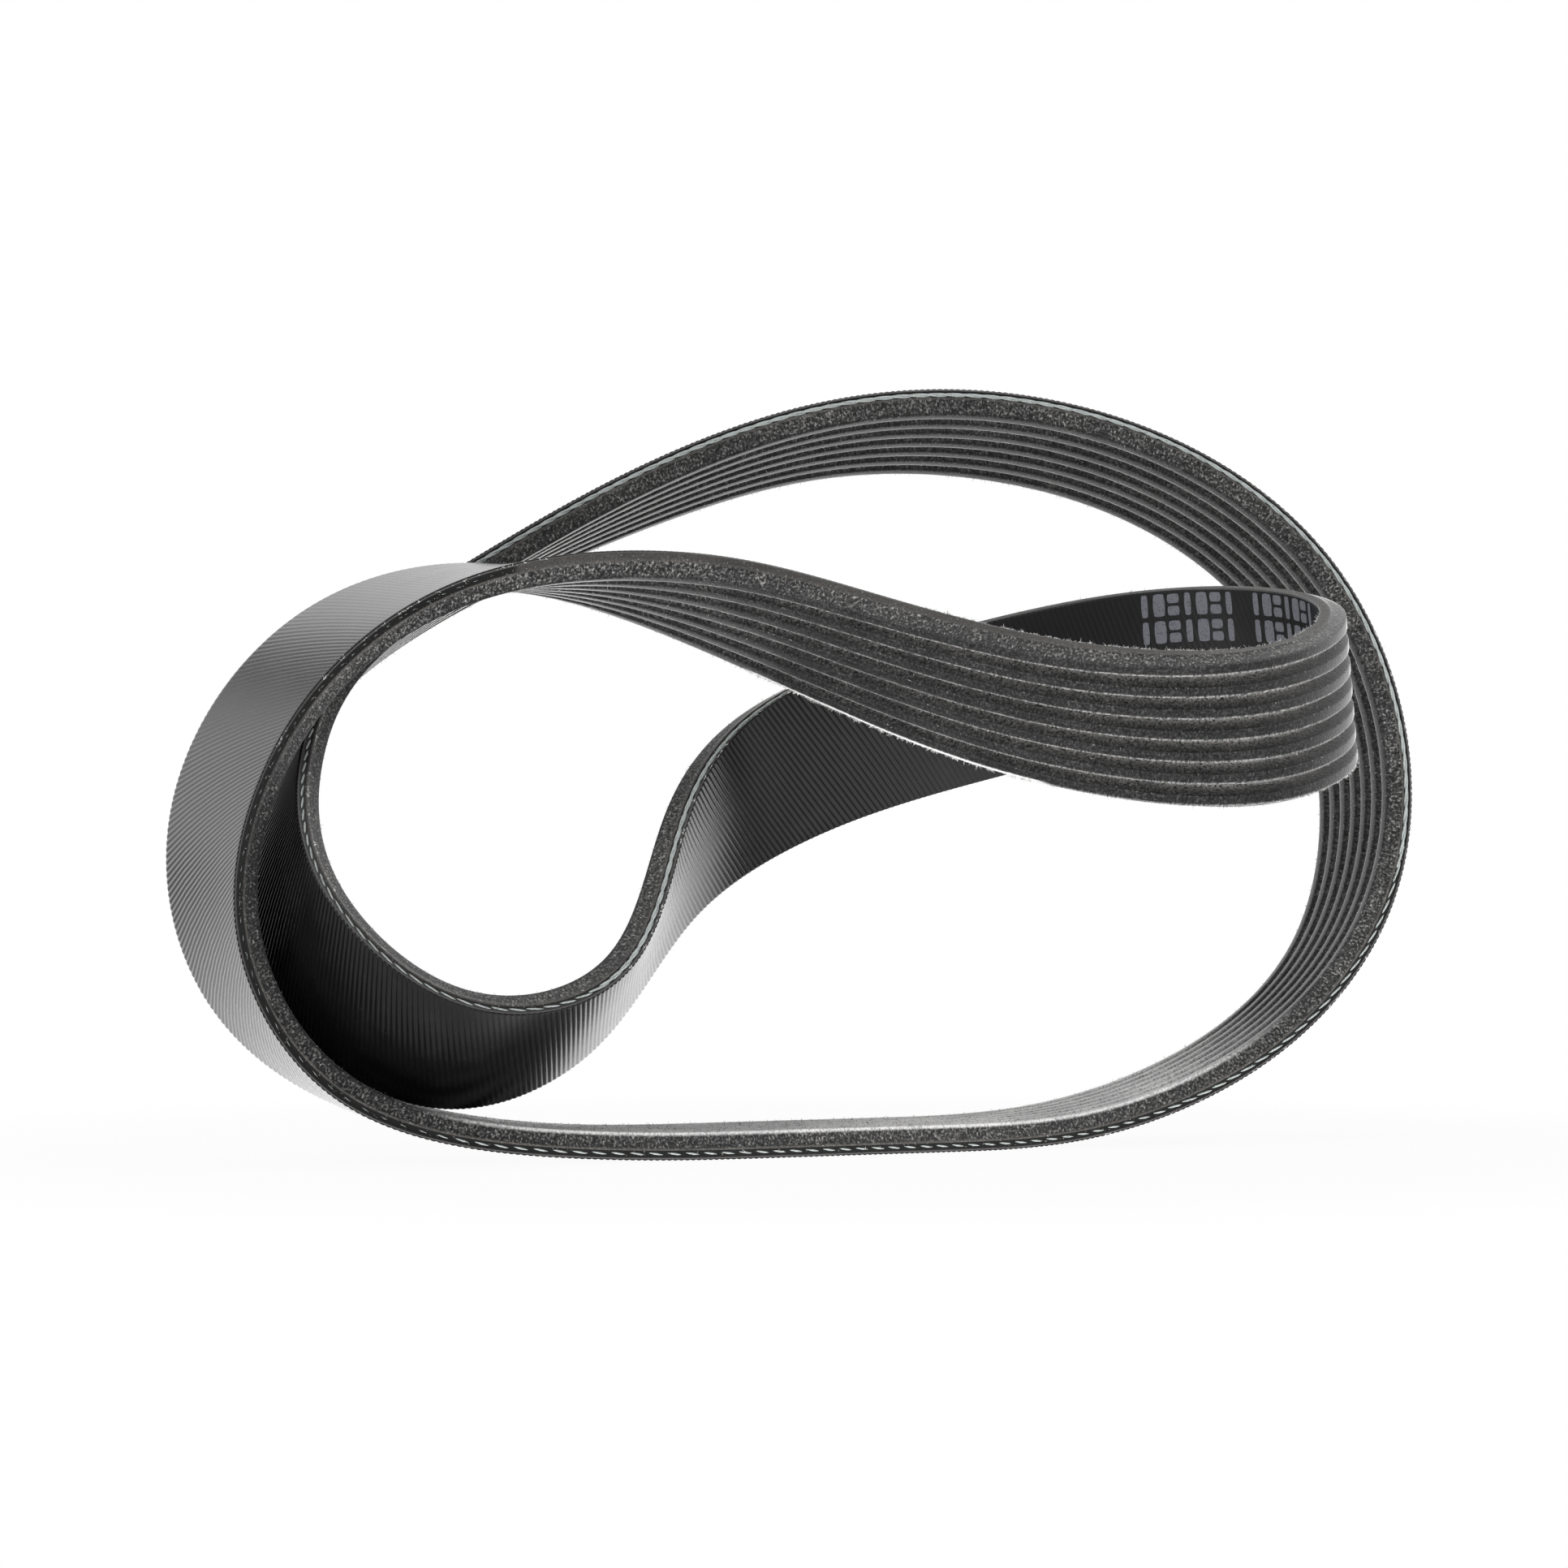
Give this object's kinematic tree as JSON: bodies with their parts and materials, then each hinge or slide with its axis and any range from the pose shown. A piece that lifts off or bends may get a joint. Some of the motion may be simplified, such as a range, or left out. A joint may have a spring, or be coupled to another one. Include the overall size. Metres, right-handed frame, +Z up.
{
  "type": "ribbed drive belt",
  "caption": "Closed ribbed rubber drive belt, flat on its back and grooved along its inside, lying loose in two crossed loops.",
  "frame": {"origin": "centre of the bounding box's bottom face, on the surface that the belt lies on", "axes": "+Z up from that surface, +X along the belt's longest extent towards the narrow turn of the small loop, +Y away from the side where both loops cross in front"},
  "size_m": [0.198, 0.1102, 0.1217],
  "materials": {
    "belt_rubber": "dark fibre-filled rubber, fuzzy on the ribs, semi-gloss with fine cross ridges on the back",
    "tension_cord": "twisted cord strands, cut off flush with the sides of the belt",
    "back_print": "worn pale ink, plain blocks only"
  },
  "bodies": {
    "root": {"drive_belt": "belt_rubber"}
  },
  "joints": []
}
